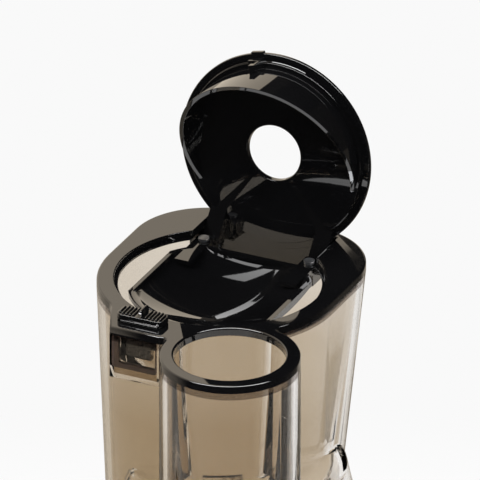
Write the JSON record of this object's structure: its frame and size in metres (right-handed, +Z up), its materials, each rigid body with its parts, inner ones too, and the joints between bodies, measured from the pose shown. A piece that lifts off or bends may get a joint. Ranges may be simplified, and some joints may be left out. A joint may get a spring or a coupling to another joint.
{
  "type": "cold press juicer",
  "caption": "Vertical slow juicer: motor base, smoky bowl with screw, strainer and spout, tall smoky hopper with round flip lid, gate, latch and side chute.",
  "frame": {"origin": "on the axis of the screw, at the surface that the feet stand on", "axes": "+Z up along the screw, -Y to the front where the juice spout and the latch are, +X to the side of the control knob"},
  "size_m": [0.196, 0.2096, 0.5147],
  "materials": {
    "gloss_black": "piano black gloss",
    "satin_black": "fine satin",
    "smoky_clear": "smoky clear copolyester",
    "strainer_grey": "satin",
    "screw_resin": "satin glass-filled resin",
    "stainless": "fine brushed",
    "zinc_screw": "bright zinc",
    "silicone_grey": "soft matt",
    "silicone_red": "soft matt",
    "rubber_black": "matt",
    "gear_nylon": "natural nylon",
    "gear_brass": "machined",
    "die_cast": "as cast",
    "motor_steel": "zinc-plated",
    "rotor_copper": "lacquered winding",
    "board_green": "solder mask"
  },
  "bodies": {
    "juicer": {"base_housing": "satin_black", "bottom_cover": "satin_black", "feet": "rubber_black", "bottom_screws": "zinc_screw", "deck_ring": "stainless", "motor_can": "motor_steel", "motor_screws": "zinc_screw", "middle_gear_pin": "stainless", "lower_bearing": "stainless", "upper_bearing": "stainless", "shaft_seal": "rubber_black", "gearbox_case": "die_cast", "gearbox_lid": "die_cast", "gearbox_screws": "zinc_screw", "control_board": "board_green", "speed_switch": "satin_black", "interlock_switch": "satin_black", "cord_inlet": "rubber_black", "bowl": "smoky_clear", "bowl_gasket": "silicone_grey", "idler_pin": "stainless", "strainer_frame": "strainer_grey", "strainer_mesh": "stainless", "juice_cap_pin": "stainless", "pulp_lever_pin": "stainless", "hopper": "smoky_clear", "hopper_seal": "silicone_grey", "top_plate": "gloss_black", "hinge_pins": "stainless"},
    "screw_set": {"screw": "screw_resin", "screw_socket": "stainless", "output_gear": "gear_nylon", "output_shaft": "stainless"},
    "middle_gear_set": {"middle_gear": "gear_nylon"},
    "motor_set": {"motor_rotor": "rotor_copper", "motor_pinion": "gear_brass", "motor_fan": "satin_black"},
    "idler": {"idler_gear": "screw_resin"},
    "brush": {"brush_frame": "strainer_grey", "brush_blades": "silicone_red"},
    "lid": {"feed_lid": "gloss_black", "flip_gate": "gloss_black", "gate_screws": "zinc_screw"},
    "latch": {"latch_slider": "gloss_black"},
    "spout_cap": {"juice_cap": "gloss_black", "juice_cap_seal": "silicone_grey"},
    "drain_lever": {"pulp_lever": "satin_black", "pulp_plug": "silicone_grey"},
    "knob": {"control_knob": "satin_black"}
  },
  "joints": [
    {"name": "screw_spin", "type": "hinge", "parent": "juicer", "child": "screw_set", "pos_m": [0, 0, 0.15], "axis": [0, 0, 1], "continuous": true},
    {"name": "middle_gear_spin", "type": "hinge", "parent": "juicer", "child": "middle_gear_set", "pos_m": [0.02527, 0.03572, 0.148], "axis": [0, 0, 1], "continuous": true},
    {"name": "motor_spin", "type": "hinge", "parent": "juicer", "child": "motor_set", "pos_m": [0, 0.056, 0.094], "axis": [0, 0, 1], "continuous": true},
    {"name": "idler_spin", "type": "hinge", "parent": "juicer", "child": "idler", "pos_m": [0.02678, 0.00975, 0.217], "axis": [0, 0, 1], "continuous": true},
    {"name": "brush_spin", "type": "hinge", "parent": "juicer", "child": "brush", "pos_m": [0, 0, 0.22], "axis": [0, 0, 1], "continuous": true},
    {"name": "lid_flip", "type": "hinge", "parent": "juicer", "child": "lid", "pos_m": [-0.0158, 0.059, 0.4314], "axis": [1, 0, 0], "range_deg": [0, 94]},
    {"name": "latch_slide", "type": "slide", "parent": "juicer", "child": "latch", "axis": [1, 0, 0], "range_m": [-0.002, 0]},
    {"name": "cap_flip", "type": "hinge", "parent": "juicer", "child": "spout_cap", "pos_m": [0, -0.0948, 0.2412], "axis": [-1, 0, 0], "range_deg": [0, 100]},
    {"name": "drain_lever_turn", "type": "hinge", "parent": "juicer", "child": "drain_lever", "pos_m": [-0.072, 0, 0.1858], "axis": [0, -1, 0], "range_deg": [0, 80]},
    {"name": "knob_turn", "type": "hinge", "parent": "juicer", "child": "knob", "pos_m": [0.088, 0, 0.092], "axis": [1, 0, 0], "range_deg": [-45, 45]}
  ],
  "couplings": [
    {"joint": "middle_gear_spin", "follows": "screw_spin", "ratio": -4},
    {"joint": "motor_spin", "follows": "screw_spin", "ratio": 20},
    {"joint": "idler_spin", "follows": "screw_spin", "ratio": -1.7143},
    {"joint": "brush_spin", "follows": "screw_spin", "ratio": -0.46154}
  ]
}
